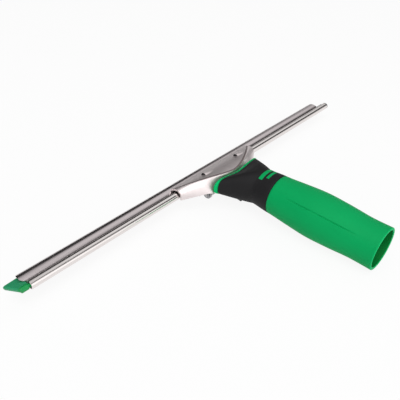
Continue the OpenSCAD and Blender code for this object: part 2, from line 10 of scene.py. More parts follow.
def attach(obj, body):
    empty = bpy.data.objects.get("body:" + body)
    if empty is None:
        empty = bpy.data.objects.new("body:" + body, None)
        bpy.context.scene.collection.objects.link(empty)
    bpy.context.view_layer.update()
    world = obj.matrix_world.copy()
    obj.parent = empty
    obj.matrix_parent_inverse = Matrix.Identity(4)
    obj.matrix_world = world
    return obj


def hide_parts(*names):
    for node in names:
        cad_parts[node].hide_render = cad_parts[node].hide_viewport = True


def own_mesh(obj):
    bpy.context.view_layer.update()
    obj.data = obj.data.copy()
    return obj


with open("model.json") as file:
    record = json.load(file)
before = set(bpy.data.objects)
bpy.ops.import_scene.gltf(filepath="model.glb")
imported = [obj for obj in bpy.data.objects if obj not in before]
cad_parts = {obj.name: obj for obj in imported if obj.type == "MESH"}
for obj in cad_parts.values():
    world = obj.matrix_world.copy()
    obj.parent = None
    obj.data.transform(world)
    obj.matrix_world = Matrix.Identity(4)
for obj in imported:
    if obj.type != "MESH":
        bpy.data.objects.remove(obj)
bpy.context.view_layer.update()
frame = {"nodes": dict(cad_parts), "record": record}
record = frame["record"]


# ---------------------------------------------------------------- tool frame
# Shapes are written in millimetres in the tool's own frame: X along the channel, Y from the grip
# to the blade, Z up, with the axis of the channel's round tube at Y = 0, Z = 0.

HINGE = (0.0, -11.5, -4.6)


def tool_to_row():
    """Matrix from the tool's own frame, in millimetres, to the row frame, in metres."""
    socket = next(m for m in record["mounts"] if m["name"] == "pole_socket")
    hinge = next(j for j in record["behaviour"]["joints"] if j["name"] == "jaw_hinge")
    turn = Matrix.Rotation(math.asin(-socket["axis"][2]), 4, "X")
    shift = Vector(hinge["pos_m"]) - turn.to_3x3() @ Vector(HINGE) / 1000
    return Matrix.Translation(shift) @ turn @ Matrix.Scale(0.001, 4)


TO_ROW = tool_to_row()


# ---------------------------------------------------------------- shader maths

class Value:
    """A number that changes over a surface; sums and products of it add Math nodes."""

    def __init__(self, finish, socket):
        self.finish = finish
        self.socket = socket

    def maths(self, operation, *others):
        """A Math node on this value and any others."""
        return self.worked_out(operation, self, *others)

    def reflected(self, operation, first):
        """A Math node with another number in front of this value."""
        return self.worked_out(operation, first, self)

    def worked_out(self, operation, *numbers):
        """A Math node on those numbers, in that order."""
        return Value(self.finish, self.finish.node(
            "ShaderNodeMath", {"operation": operation}, dict(enumerate(numbers))))

    def __add__(self, other):
        return self.maths("ADD", other)

    def __sub__(self, other):
        return self.maths("SUBTRACT", other)

    def __mul__(self, other):
        return self.maths("MULTIPLY", other)

    def __truediv__(self, other):
        return self.maths("DIVIDE", other)

    def __pow__(self, other):
        return self.maths("POWER", other)

    def __rsub__(self, other):
        return self.reflected("SUBTRACT", other)

    def __rtruediv__(self, other):
        return self.reflected("DIVIDE", other)

    __radd__ = __add__
    __rmul__ = __mul__

    def clipped(self):
        """The value kept between 0 and 1."""
        return self.maths("MAXIMUM", 0.0).maths("MINIMUM", 1.0)


class Finish:
    """One material, or the studio's surroundings, and the nodes that make it."""

    def __init__(self, name, owners=None, shader="Principled BSDF"):
        self.material = (bpy.data.materials if owners is None else owners).new(name)
        self.material.use_nodes = True
        self.tree = self.material.node_tree
        self.shader = self.tree.nodes[shader]

    def node(self, kind, settings=None, inputs=None, output=0):
        """Adds a node, with its settings first and then its sockets' values or links."""
        added = self.tree.nodes.new(kind)
        for key, setting in (settings or {}).items():
            setattr(added, key, setting)
        for key, value in (inputs or {}).items():
            self.feed(added.inputs[key], value)
        return added.outputs[output]

    def feed(self, target, value):
        """Links a socket to a value's socket, or sets the number or colour that it holds."""
        if isinstance(value, Value):
            value = value.socket
        if isinstance(value, bpy.types.NodeSocket):
            self.tree.links.new(value, target)
        elif target.type == "RGBA":
            target.default_value = (*value, 1.0)
        else:
            target.default_value = value

    def set(self, **sockets):
        """Feeds the shader's sockets, named in small letters with underscores."""
        for key, value in sockets.items():
            spoken = key.replace("_", " ").title().replace("Ior", "IOR")
            self.feed(self.shader.inputs[spoken], value)

    def row(self, axis):
        """One coordinate of the point in the row frame."""
        point = self.node("ShaderNodeTexCoord", output="Object")
        return Value(self, self.node("ShaderNodeSeparateXYZ", {}, {"Vector": point}, axis))

    def noise(self, scale, detail, rough):
        """Noise with that many lumps to the metre along each axis of the row frame."""
        point = self.node("ShaderNodeTexCoord", output="Object")
        where = self.node("ShaderNodeMapping", {"vector_type": "POINT"},
                          {"Vector": point, "Scale": scale})
        return Value(self, self.node("ShaderNodeTexNoise", {}, {
            "Vector": where, "Scale": 1.0, "Detail": detail, "Roughness": rough}))

    def blend(self, share, low, high):
        """The colour between low and high."""
        # A Mix node keeps its colours in sockets 6 and 7, and its colour result in output 2
        return self.node("ShaderNodeMix", {"data_type": "RGBA"}, {0: share, 6: low, 7: high}, 2)

    def ray(self, kind):
        """1 for rays of that kind, else 0."""
        return Value(self, self.node("ShaderNodeLightPath", output="Is " + kind + " Ray"))

    def bump(self, height, depth, strength):
        """The normal of a surface whose height changes by up to depth metres."""
        return self.node("ShaderNodeBump", {},
                         {"Height": height, "Distance": depth, "Strength": strength})


def linear(red, green, blue):
    """A colour written as 0 to 255 steps of a screen, as linear light."""
    return tuple((c / 255 / 12.92) if c <= 10 else ((c / 255 + 0.055) / 1.055) ** 2.4
                 for c in (red, green, blue))


# In the row frame: Y and Z of the groove between the tube and the hood, the half width of the
# painted shade in it, the width over which the hood's duller painted shade comes in, and the same
# for the clip's fin
GROOVE = (TO_ROW @ Vector((0.0, 3.15, -0.05)))[1:]
GROOVE_SHADE_HALF, HOOD_SHADE_EDGE = 0.002, 0.0006
FIN_FROM = (TO_ROW @ Vector((0.0, 1.2, 0.0)))[1]
FIN_EDGE = 0.0012


def rolled_steel():
    """Bright stainless sheet with the fine lines that rolling leaves along it.

    It has painted shade: it's duller over the hood, and dark in the groove beside the tube."""
    f = Finish("rolled_stainless_painted_shade")
    lines = f.noise((5, 700, 700), 3.0, 0.55)
    broad = f.noise((9, 60, 60), 2.0, 0.5)
    y, z = f.row(1) - GROOVE[0], f.row(2) - GROOVE[1]
    # Painted shade: a duller tone over the hood, and dark in the groove beside the tube
    hood = (y / HOOD_SHADE_EDGE + 0.5).clipped()
    depth = (1 - (y * y + z * z) ** 0.5 / GROOVE_SHADE_HALF).clipped()
    bright = f.blend((lines * 0.6 + broad * 0.4).clipped(), linear(214, 206, 204),
                     linear(242, 237, 235))
    with_hood_painted_shade = f.blend(hood, bright, linear(205, 196, 197))
    f.set(base_color=f.blend(depth * 0.85, with_hood_painted_shade, linear(52, 44, 42)),
          metallic=1.0, roughness=0.13 + lines * 0.08 + broad * 0.04 + hood * 0.05,
          normal=f.bump(lines, 0.00001, 0.15))
    return f.material


def pressed_steel(name, low, high):
    """Satin stainless sheet of the clamp, brushed across the tool, between two tones."""
    f = Finish(name)
    strokes = f.noise((500, 26, 60), 4.0, 0.62)
    cloud = f.noise((70, 70, 70), 3.0, 0.5)
    scratch = (f.noise((1400, 90, 90), 2.0, 0.5) - 0.62).clipped() * 5.0
    f.set(base_color=f.blend((strokes * 0.5 + cloud * 0.5).clipped(), low, high),
          metallic=1.0, roughness=0.4 + strokes * 0.08 + cloud * 0.08 - scratch.clipped() * 0.06,
          normal=f.bump(strokes, 0.00002, 0.2))
    return f.material


def plain_steel():
    """Plain ground steel of the frame, pins and rivets."""
    f = Finish("plain_steel")
    grain = f.noise((400, 400, 400), 3.0, 0.6)
    f.set(base_color=f.blend(grain.clipped(), linear(150, 148, 148), linear(196, 194, 193)),
          metallic=1.0, roughness=0.26 + grain * 0.18, normal=f.bump(grain, 0.00002, 0.3))
    return f.material


def spring_steel():
    """Drawn wire of the spring and the clips."""
    f = Finish("drawn_spring_wire")
    grain = f.noise((700, 700, 160), 3.0, 0.6)
    f.set(base_color=f.blend(grain.clipped(), linear(120, 120, 124), linear(172, 172, 176)),
          metallic=1.0, roughness=0.2 + grain * 0.15, normal=f.bump(grain, 0.00001, 0.3))
    return f.material


def green_plastic(name, low, high):
    """Satin polypropylene of the grip, between two tones, with its mould's matt grain."""
    f = Finish(name)
    grain = f.noise((2600, 2600, 2600), 2.0, 0.5)
    flow = f.noise((60, 22, 60), 3.0, 0.5)
    rub = (f.noise((150, 90, 150), 4.0, 0.65) - 0.6).clipped() * 3.0
    tone = f.blend((flow * 0.8 + grain * 0.2).clipped(), low, high)
    f.set(base_color=f.blend(rub.clipped() * 0.1, tone, linear(10, 176, 104)),
          roughness=0.54 + grain * 0.1 - rub.clipped() * 0.08, specular_ior_level=0.1,
          normal=f.bump(grain, 0.00006, 0.35))
    return f.material


def clip_plastic():
    """Glossier green nylon of the end clip, paler over its fin."""
    f = Finish("green_nylon")
    grain = f.noise((900, 900, 900), 2.0, 0.5)
    flow = f.noise((120, 200, 120), 3.0, 0.55)
    fin = ((f.row(1) - FIN_FROM) / FIN_EDGE + 0.5).clipped()
    tone = f.blend(flow.clipped(), linear(0, 130, 62), linear(0, 146, 74))
    f.set(base_color=f.blend(fin, tone, linear(42, 144, 98)),
          roughness=0.3 + grain * 0.12, specular_ior_level=0.4,
          normal=f.bump(flow, 0.00008, 0.3))
    return f.material


def soft_black():
    """Black rubber moulded over the neck."""
    f = Finish("black_overmould")
    grain = f.noise((1900, 1900, 1900), 3.0, 0.6)
    haze = f.noise((80, 60, 80), 4.0, 0.6)
    f.set(base_color=f.blend((haze * 0.7 + grain * 0.3).clipped(), linear(18, 18, 19),
                             linear(31, 30, 32)),
          roughness=0.56 + grain * 0.12 + haze * 0.06, specular_ior_level=0.2,
          normal=f.bump(grain, 0.00008, 0.45))
    return f.material


def blade_rubber():
    """Natural rubber of the blade, with a dusty bloom."""
    f = Finish("blade_rubber")
    grain = f.noise((1500, 1500, 1500), 3.0, 0.6)
    bloom = f.noise((25, 120, 120), 4.0, 0.6)
    f.set(base_color=f.blend(bloom.clipped(), linear(22, 22, 24), linear(44, 43, 44)),
          roughness=0.58 + grain * 0.14, specular_ior_level=0.25,
          normal=f.bump(grain, 0.00005, 0.4))
    return f.material


def dark_plastic():
    """Black nylon of the trigger, the plug and the socket's liner; on the louvres' open ends it is
    painted shade.
    """
    f = Finish("dark_nylon")
    grain = f.noise((1300, 1300, 1300), 3.0, 0.6)
    flow = f.noise((90, 90, 90), 3.0, 0.6)
    f.set(base_color=f.blend(flow.clipped(), linear(22, 22, 24), linear(40, 39, 41)),
          roughness=0.44 + grain * 0.14, specular_ior_level=0.3,
          normal=f.bump(grain, 0.00006, 0.4))
    return f.material


def white_plastic():
    """White acetal of the hinge's bushes."""
    f = Finish("white_acetal")
    grain = f.noise((900, 900, 900), 3.0, 0.6)
    f.set(base_color=f.blend(grain.clipped(), linear(214, 213, 208), linear(236, 235, 230)),
          roughness=0.36 + grain * 0.12, normal=f.bump(grain, 0.00004, 0.3))
    return f.material


ROLLED = rolled_steel()
PRESSED = pressed_steel("pressed_stainless", linear(218, 207, 208), linear(242, 234, 233))
# A darker copy of the pressed steel: painted shade along the crease between the cover's plate and
# skirt
FOLD_PAINTED_SHADE = pressed_steel("stainless_fold_painted_shade", linear(126, 112, 112), linear(160, 146, 145))
STEEL = plain_steel()
SPRING = spring_steel()
GREEN = green_plastic("green_polypropylene", linear(0, 149, 80), linear(0, 165, 92))
# A lighter copy of the green: painted highlight on the core's rim and the sleeve's lip
GREEN_PAINTED_HIGHLIGHT = green_plastic("green_painted_highlight", linear(0, 172, 98), linear(0, 186, 108))
# A darker copy of the green: painted shade inside the sleeve's open end
GREEN_BORE_PAINTED_SHADE = green_plastic("green_bore_painted_shade", linear(0, 112, 44), linear(0, 126, 54))
CLIP = clip_plastic()
NECK = soft_black()
RUBBER = blade_rubber()
DARK = dark_plastic()
WHITE = white_plastic()


# ---------------------------------------------------------------- making pieces

# Points closer than this, in millimetres, become one
SAME_PLACE = 0.0005


def add_object(name, data):
    """A new object in the scene, made of that mesh, lamp or camera data."""
    obj = bpy.data.objects.new(name, data)
    bpy.context.scene.collection.objects.link(obj)
    return obj


def piece(name, parts, finishes, body, stands_for, bevel=0.0, crease=35, cuts=()):
    """One object from parts in the tool's frame, riding on a body.

    A part is its points, its faces and, where it has more than one finish, each face's number in
    finishes. Edges sharper than crease degrees stay sharp; bevel rounds them, in millimetres.
    Cuts are boxes taken out of it."""
    work = bmesh.new()
    for points, faces, *kinds in parts:
        made = [work.verts.new(p) for p in points]
        for number, corners in enumerate(faces):
            face = work.faces.new([made[c] for c in corners])
            face.material_index = kinds[0][number] if kinds else 0
    bmesh.ops.remove_doubles(work, verts=work.verts, dist=SAME_PLACE)
    bmesh.ops.dissolve_degenerate(work, edges=work.edges, dist=SAME_PLACE)
    bmesh.ops.recalc_face_normals(work, faces=work.faces)
    limit = math.radians(crease)
    for face in work.faces:
        face.smooth = True
    for edge in work.edges:
        edge.smooth = not (len(edge.link_faces) == 2 and edge.calc_face_angle(0.0) > limit)
    mesh = bpy.data.meshes.new(name)
    work.to_mesh(mesh)
    work.free()
    mesh.transform(TO_ROW)
    for finish in finishes:
        mesh.materials.append(finish)
    obj = add_object(name, mesh)
    for box in cuts:
        carve(obj, box)
    if bevel:
        edges = obj.modifiers.new("edges", "BEVEL")
        edges.width = bevel / 1000
        edges.segments = 3
        edges.limit_method = "ANGLE"
        edges.angle_limit = limit
        edges.harden_normals = True
        edges.use_clamp_overlap = True
    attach(obj, body)
    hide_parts(*stands_for)
    return obj


def carve(obj, box):
    """Cuts a box in the tool's frame out of obj's mesh."""
    (x0, y0, z0), (x1, y1, z1) = box
    points = [(x, y, z) for x in (x0, x1) for y in (y0, y1) for z in (z0, z1)]
    mesh = bpy.data.meshes.new("cutter")
    mesh.from_pydata(points, [], [(0, 1, 3, 2), (4, 6, 7, 5), (0, 4, 5, 1), (2, 3, 7, 6),
                                  (0, 2, 6, 4), (1, 5, 7, 3)])
    mesh.transform(TO_ROW)
    cutter = add_object("cutter", mesh)
    cutting = obj.modifiers.new("cut", "BOOLEAN")
    cutting.operation = "DIFFERENCE"
    cutting.object = cutter
    cutting.solver = "EXACT"
    bpy.context.view_layer.update()
    evaluated = obj.evaluated_get(bpy.context.evaluated_depsgraph_get())
    whole = obj.data
    obj.data = bpy.data.meshes.new_from_object(evaluated)
    obj.modifiers.clear()
    bpy.data.objects.remove(cutter)
    for spent in (whole, mesh):
        bpy.data.meshes.remove(spent)


def skin(rings, wrapped=False, caps=(False, False)):
    """Points and faces that join closed rings of points.

    Wrapped joins the last ring to the first; caps close the first ring, the last, or both."""
    count = len(rings[0])
    points = [p for ring in rings for p in ring]
    faces = []
    for r in range(len(rings) if wrapped else len(rings) - 1):
        a = r * count
        b = ((r + 1) % len(rings)) * count
        for i in range(count):
            j = (i + 1) % count
            faces.append((a + i, a + j, b + j, b + i))
    if caps[0]:
        faces.append(tuple(range(count)))
    if caps[1]:
        faces.append(tuple((len(rings) - 1) * count + i for i in range(count)))
    return points, faces


def prism(outline, x0, x1):
    """A YZ outline run from x0 to x1."""
    rings = [[(x, y, z) for y, z in outline] for x in (x0, x1)]
    return skin(rings, caps=(True, True))


def turned_x(profile, steps=64):
    """A closed profile of (x, radius) turned round the X axis."""
    rings = []
    for s in range(steps):
        c, d = unit(360 * s / steps)
        rings.append([(x, r * c, r * d) for x, r in profile])
    return skin(rings, wrapped=True)


def unit(degrees):
    """Cosine and sine of an angle."""
    return math.cos(math.radians(degrees)), math.sin(math.radians(degrees))


def mix(a, b, t):
    """The number a share t of the way from a to b."""
    return a + (b - a) * t


def spaced(a, b, steps):
    """Evenly spaced numbers from a to b, one more than the steps between them."""
    return [mix(a, b, i / steps) for i in range(steps + 1)]


def smooth(t):
    """A share from 0 to 1 that starts and ends gently."""
    t = min(max(t, 0.0), 1.0)
    return t * t * (3 - 2 * t)


# ---------------------------------------------------------------- channel and blade

LEFT, RIGHT = -175.0, 175.0
SHEET = 0.6
TUBE_R = 3.15
# The hood's round: its centre in Y and Z, its outer radius, and the degrees that it runs over
HOOD, HOOD_R = (8.2, -4.89515), 7.0
HOOD_FROM, HOOD_TO = 149.164, -12.9992
EDGE_ROUND = 0.25
# How far the hood's right end is cut back, on a slant from Y = STRIP_TO to Y = SLANT_TO. Nearer
# the tube a narrow strip stays, and the lower lip is cut where the hood is at Y = LIP_CUT_AT
CUT_BY_TUBE, CUT_AT_EDGE = 9.4, 10.4
STRIP_TO = TUBE_R + 0.9
SLANT_TO = HOOD[0] + HOOD_R - 3
LIP_CUT_AT = 5.0
# The hood's left end above that height: a tongue, as (Y, distance from the channel's end)
TONGUE_TOP = HOOD[1] + HOOD_R / 3
TONGUE = [(-1.0, 1.8), (3.35, 1.8), (4.6, -1.2), (6.2, -2.8)] + [
    (9.0 + 4.5 * math.sin(math.radians(11.25 * i)), -2.8 * math.cos(math.radians(11.25 * i)))
    for i in range(9)] + [(16.2, 2.6)]
# The blade's bead, the room round it, and the blade, which slopes down by that many degrees
BEAD, BEAD_R, BEAD_ROOM = (6.78062, -0.995426), 2.2, 0.2
BLADE_L, BLADE_T, SLOPE = 19.5, 1.9, 42.0
# The lower lip leaves the tube at that many degrees round it and ends at that Y and Z
LIP_FROM, LIP_END = -50, (13.2858, -8.60206)
# Gap between pieces that sit in each other
SEAT = 0.05
PLUG_R = TUBE_R - SHEET - SEAT
PLUG_L = 15.0


def hood_left(y, z):
    """Left end of the hood at that place across it: a tongue over the clip's fin."""
    if z < TONGUE_TOP:
        return LEFT
    before = max(k for k in range(len(TONGUE) - 1) if TONGUE[k][0] <= y)
    (y0, x0), (y1, x1) = TONGUE[before:before + 2]
    return LEFT + mix(x0, x1, (y - y0) / (y1 - y0))


def hood_right(y):
    """Right end of the hood: cut back on a slant in front of a narrow strip."""
    if y < STRIP_TO:
        return RIGHT
    across = (y - STRIP_TO) / (SLANT_TO - STRIP_TO)
    return RIGHT - mix(CUT_BY_TUBE, CUT_AT_EDGE, min(across, 1.0))


def hood_ring(left, right, outer, inner):
    """The hood's four corners at one place round it, from its left end to its right end."""
    return [(left, *outer), (right, *outer), (right, *inner), (left, *inner)]


def hood_shell():
    """The rolled sheet over the blade, as rings from the tube to its rounded edge."""
    rings = []
    last_left, last_right = LEFT, RIGHT
    for angle in spaced(HOOD_FROM, HOOD_TO, 110):
        c, d = unit(angle)
        outer = (HOOD[0] + HOOD_R * c, HOOD[1] + HOOD_R * d)
        inner = (HOOD[0] + (HOOD_R - SHEET) * c, HOOD[1] + (HOOD_R - SHEET) * d)
        left, right = hood_left(*outer), hood_right(outer[0])
        # Where an end steps back square, two rings lie in one place
        if last_right - right > 2:
            rings.append(hood_ring(left, last_right, outer, inner))
        if last_left > LEFT + 0.2 and left == LEFT:
            rings.append(hood_ring(last_left, right, outer, inner))
        rings.append(hood_ring(left, right, outer, inner))
        last_left, last_right = left, right
    tip = (HOOD[0] + (HOOD_R - SHEET / 2) * c + EDGE_ROUND * d,
           HOOD[1] + (HOOD_R - SHEET / 2) * d - EDGE_ROUND * c)
    rings.append(hood_ring(left, right, tip, tip))
    return skin(rings, caps=(True, False))


def channel_piece():
    """Tube, hood and lower lip of the channel."""
    burr = 0.18
    tube = turned_x([(LEFT, TUBE_R - burr), (LEFT + burr, TUBE_R), (RIGHT - burr, TUBE_R),
                     (RIGHT, TUBE_R - burr), (RIGHT, TUBE_R - SHEET), (LEFT, TUBE_R - SHEET)],
                    steps=128)
    cut, whole = hood_right(LIP_CUT_AT), lip_outline()
    # Past the hood's cut-back end the lower lip is a stub, as wide as the strip above it
    middle, stub_top, stub_low = -3.0, -2.7, -3.1
    stub = [(y, z) if y < STRIP_TO else (STRIP_TO, stub_top if z > middle else stub_low)
            for y, z in whole]
    piece("channel_sheet", [tube, hood_shell(), prism(whole, LEFT, cut), prism(stub, cut, RIGHT)],
          [ROLLED], "channel", ["channel"], crease=40)


def lip_outline():
    """The lower lip: a strip that leaves the tube, passes under the bead and follows the blade."""
    c, d = unit(-SLOPE)
    reach = BEAD_R + BEAD_ROOM
    side = BLADE_T / 2 + 2 * SEAT + SHEET / 2
    bend = (BEAD[0] + reach * c + side * d, BEAD[1] + reach * d - side * c)
    knee = (bend[0] - 0.4, bend[1] + 0.1)
    c, d = unit(LIP_FROM)
    start = ((TUBE_R - SHEET / 2) * c, (TUBE_R - SHEET / 2) * d)
    return ribbon([start, knee, bend, LIP_END], SHEET)


def ribbon(line, width):
    """Closed outline of a strip of even width along a line of points."""
    upper, lower = [], []
    for i, p in enumerate(line):
        a, b = line[max(i - 1, 0)], line[min(i + 1, len(line) - 1)]
        dy, dz = b[0] - a[0], b[1] - a[1]
        size = math.hypot(dy, dz)
        ny, nz = -dz / size * width / 2, dy / size * width / 2
        upper.append((p[0] + ny, p[1] + nz))
        lower.append((p[0] - ny, p[1] - nz))
    return upper + lower[::-1]


def blade_outline():
    """Bead, blade and the square working edge."""
    half, corner = BLADE_T / 2, (0.15, 0.12)
    meet = math.degrees(math.asin(half / BEAD_R))
    points = [(BEAD_R * c, BEAD_R * d) for c, d in map(unit, spaced(meet, 360 - meet, 39))]
    points += [(BLADE_L - corner[0], -half), (BLADE_L, -half + corner[1]),
               (BLADE_L, half - corner[1]), (BLADE_L - corner[0], half)]
    c, d = unit(-SLOPE)
    return [(BEAD[0] + x * c - y * d, BEAD[1] + x * d + y * c) for x, y in points]


def blade_piece():
    """The rubber, from end to end of the hood beside its strip."""
    right = hood_right(STRIP_TO + SEAT) - SEAT
    piece("blade_strip", [prism(blade_outline(), LEFT + SEAT, right)], [RUBBER], "channel",
          ["blade"], bevel=0.12)


def left_clip_piece():
    """Plug in the tube, its knob outside, and a flat finger fin beside it that slopes down."""
    knob, knob_r, neck_r = LEFT - 6.5, 2.05, 1.3
    into = LEFT + PLUG_L
    plug = turned_x([(knob, 0.0), (knob, knob_r - 0.5), (knob + 0.5, knob_r),
                     (LEFT - 1.2, knob_r), (LEFT - 1.0, neck_r), (LEFT + 1.2, neck_r),
                     (LEFT + 1.2, PLUG_R), (into, PLUG_R), (into, 0.0)])
    near, far, back = LEFT - 0.06, LEFT - 11.3, 12.5
    plan = [(near, 0.4), (LEFT - 2.6, -1.6), (knob + 0.5, -1.9), (far, 10.4), (far, back),
            (near, back)]
    middle = (LEFT - 5.4, 6.6)
    half, bevel = 1.2, 1.25
    c, d = unit(-12)
    rings = []
    for z, inset in ((-half, 0.0), (0.25, 0.0), (half, bevel)):
        ring = []
        for x, y in plan:
            away = math.hypot(x - middle[0], y - middle[1])
            k = 1 - inset / away if x < LEFT - 0.1 else 1.0
            x, y = mix(middle[0], x, k), mix(middle[1], y, k)
            ring.append((x, y * c - z * d, y * d + z * c))
        rings.append(ring)
    piece("left_clip", [plug, skin(rings, caps=(True, True))], [CLIP], "channel",
          ["left_end_clip"], bevel=0.28, crease=25)


def right_plug_piece():
    """Plug with a low domed head in the tube's right end."""
    head = TUBE_R - 0.1
    into, under = RIGHT - PLUG_L, RIGHT + SEAT
    plug = turned_x([(into, 0.0), (into, PLUG_R), (under, PLUG_R), (under, head),
                     (RIGHT + 0.7, head), (RIGHT + 1.05, head - 0.35),
                     (RIGHT + 1.2, head - 1.0), (RIGHT + 1.2, 0.0)])
    piece("right_plug", [plug], [DARK], "channel", ["right_end_plug"])


# ---------------------------------------------------------------- clamp head

JAW_HALF, JAW_T = 46.0, 1.2
# Y and Z of the cover's front edge; behind it the plate rises, and more gently past LEVEL_BACK
JAW_FRONT, JAW_FRONT_Z = 6.0, 3.4
LEVEL_BACK = 6.0
RISE, LATE_RISE = math.tan(math.radians(30)), math.tan(math.radians(3))
# The neck's front, and the cover's back just before it, which the skirt meets along a round
NECK_FRONT = -20.4
PAN_GAP = 0.3
PAN_BACK, PAN_ROUND = NECK_FRONT + PAN_GAP, 1.6
CURVE = (RISE - LATE_RISE) / 2 / (JAW_FRONT - PAN_BACK - PAN_GAP - LEVEL_BACK)
# The crease between plate and skirt: Y in the middle and at the sides, and how it bends between
CREASE_BACK, CREASE_SIDE, CREASE_BEND = -20.9, 2.2, 1.46
FOLD = 1.5
# The skirt's foot at the cover's ends, what it gains in Y and Z for each millimetre inwards, the
# highest that it comes, and how far the skirt bulges at the ends
FOOT_Y, FOOT_BACK = -4.9, 0.74
FOOT_Z, FOOT_RISE, FOOT_TOP = -1.8, 0.25, 2.4
BELLY = 3.9
NOTCH_HALF, NOTCH_TOP = 12.3, 10.05
# The louvres' open ends, their size, and how far each turns to the front over its length
LOUVRE_X, LOUVRE_Y = 20.0, -4.2
LOUVRE_L, LOUVRE_HALF, LOUVRE_H, LOUVRE_TURN = 9.0, 2.3, 1.8, 1.2
# The cover has this many steps from side to side, and over its plate, fold and skirt
COVER_STEPS = 240
PLATE_STEPS, FOLD_STEPS, SKIRT_STEPS = 34, 8, 26


def plate_z(y):
    """Height of the cover's plate at that Y."""
    back = JAW_FRONT - y
    return JAW_FRONT_Z + back * RISE - CURVE * max(0.0, back - LEVEL_BACK) ** 2


def crease_y(x):
    """Y of the crease between plate and skirt at that X."""
    return mix(CREASE_BACK, CREASE_SIDE, (abs(x) / JAW_HALF) ** CREASE_BEND)


def soft_limit(y):
    """Place y kept in front of the cover's back, which it meets along a round."""
    over = max(0.0, 1 - abs(y - PAN_BACK) / PAN_ROUND)
    return max(y, PAN_BACK) + PAN_ROUND / 4 * over ** 2


def jaw_line(x):
    """Outer line of the cover at that X: front edge, plate, fold, skirt."""
    cy = crease_y(x)
    inside = JAW_HALF - abs(x)
    top = (cy, plate_z(cy))
    foot = (soft_limit(FOOT_Y - inside * FOOT_BACK), min(FOOT_TOP, FOOT_Z + inside * FOOT_RISE))
    size = math.hypot(foot[0] - top[0], foot[1] - top[1])
    dy, dz = (foot[0] - top[0]) / size, (foot[1] - top[1]) / size
    belly = BELLY * (abs(x) / JAW_HALF) ** 3

    def skirt(t):
        push = belly * 4 * t * (1 - t)
        return (soft_limit(mix(top[0], foot[0], t) + push * dz),
                mix(top[1], foot[1], t) - push * dy)
    fold = min(FOLD, size / 3)
    line = [(y, plate_z(y)) for y in spaced(JAW_FRONT, cy + fold, PLATE_STEPS)]
    a, b = line[-1], skirt(fold / size)
    for t in spaced(0.0, 1.0, FOLD_STEPS)[1:]:
        line.append(tuple((1 - t) ** 2 * a[k] + 2 * t * (1 - t) * top[k] + t * t * b[k]
                          for k in (0, 1)))
    return line + [skirt(t) for t in spaced(fold / size, 1.0, SKIRT_STEPS)[1:]]


def louvre(x, y):
    """How far the two pressed louvres stand out of the cover; each is open at its left end."""
    height = 0.0
    for centre in (-LOUVRE_X, LOUVRE_X):
        along = (x - centre) / LOUVRE_L
        across = (y - LOUVRE_Y + LOUVRE_TURN * along) / LOUVRE_HALF
        if 0 < along < 1 and abs(across) < 1:
            arch = math.cos(across * math.pi / 2) ** 0.7
            height = max(height, LOUVRE_H * (1 - along) ** 0.8 * arch)
    return height


def cover_columns():
    """Places along X at which the cover is drawn, and whether the notch shortens it there.

    Two columns stand close together at each louvre's open end, and in one place at each side of
    the notch, where the full one lies outside."""
    xs = spaced(-JAW_HALF, JAW_HALF, COVER_STEPS)
    xs += [side * LOUVRE_X + off for side in (-1, 1) for off in (-0.02, 0.02)]

    def kept(x):
        return abs(abs(x) - NOTCH_HALF) > 0.3 and not 0.03 < abs(abs(x) - LOUVRE_X) < 0.3
    columns = [(x, abs(x) < NOTCH_HALF) for x in xs if kept(x)]
    columns += [(side * NOTCH_HALF, notched) for side in (-1, 1) for notched in (True, False)]
    return sorted(columns, key=lambda c: (c[0], c[1] == (c[0] < 0)))


def louvre_mouth(spots):
    """Whether a face with those corners closes the open end of a louvre; such faces are painted
    dark, as shade.
    """
    xs, ys, zs = zip(*spots)
    return (any(abs(xs[0] - x) < 0.03 for x in (-LOUVRE_X, LOUVRE_X)) and max(xs) - min(xs) < 0.1
            and max(zs) - min(zs) > 0.1 and louvre(max(xs), sum(ys) / 4) > 0.25)


def cover_piece():
    """Pressed cover of one thickness: plate with louvres, fold, and skirt notched for the neck."""
    rings = []
    for x, notched in cover_columns():
        line = jaw_line(x)
        if notched:
            line = shorten(line, PLATE_STEPS + FOLD_STEPS, NOTCH_TOP)
        heights = [louvre(x, y) if i < PLATE_STEPS else 0.0 for i, (y, _) in enumerate(line)]
        outer = [(x, *moved(line, i, height)) for i, height in enumerate(heights)]
        inner = [(x, *moved(line, i, height - JAW_T)) for i, height in enumerate(heights)]
        rings.append(outer + inner[::-1])
    points, faces = skin(rings)
    count = len(rings[0])
    sides = len(faces)
    for first in (0, (len(rings) - 1) * count):
        for i in range(count // 2 - 1):
            faces.append((first + i, first + i + 1, first + count - 2 - i, first + count - 1 - i))
    kinds = []
    for number, corners in enumerate(faces):
        # Faces along the crease get the darker copy of the steel: painted shade
        in_fold_painted_shade = number < sides and PLATE_STEPS - 1 <= number % count < PLATE_STEPS + 3
        # Faces closing a louvre's open end get dark plastic: painted shade for the opening
        dark = louvre_mouth([points[c] for c in corners])
        kinds.append(2 if in_fold_painted_shade else 1 if dark else 0)
    piece("clamp_cover", [(points, faces, kinds)], [PRESSED, DARK, FOLD_PAINTED_SHADE], "handle",
          ["upper_jaw"], crease=42)


def shorten(line, corner, top):
    """The line with its skirt ended at the height top, in as many points as before."""
    skirt = line[corner:]
    cut = [p for p in skirt if p[1] > top]
    if not 0 < len(cut) < len(skirt):
        return line
    a, b = cut[-1], skirt[len(cut)]
    t = (a[1] - top) / (a[1] - b[1])
    end = (mix(a[0], b[0], t), top)
    whole = cut + [end]
    out = []
    for i in range(len(skirt)):
        s = i / (len(skirt) - 1) * (len(whole) - 1)
        k = min(int(s), len(whole) - 2)
        out.append(tuple(mix(whole[k][m], whole[k + 1][m], s - k) for m in (0, 1)))
    return line[:corner] + out


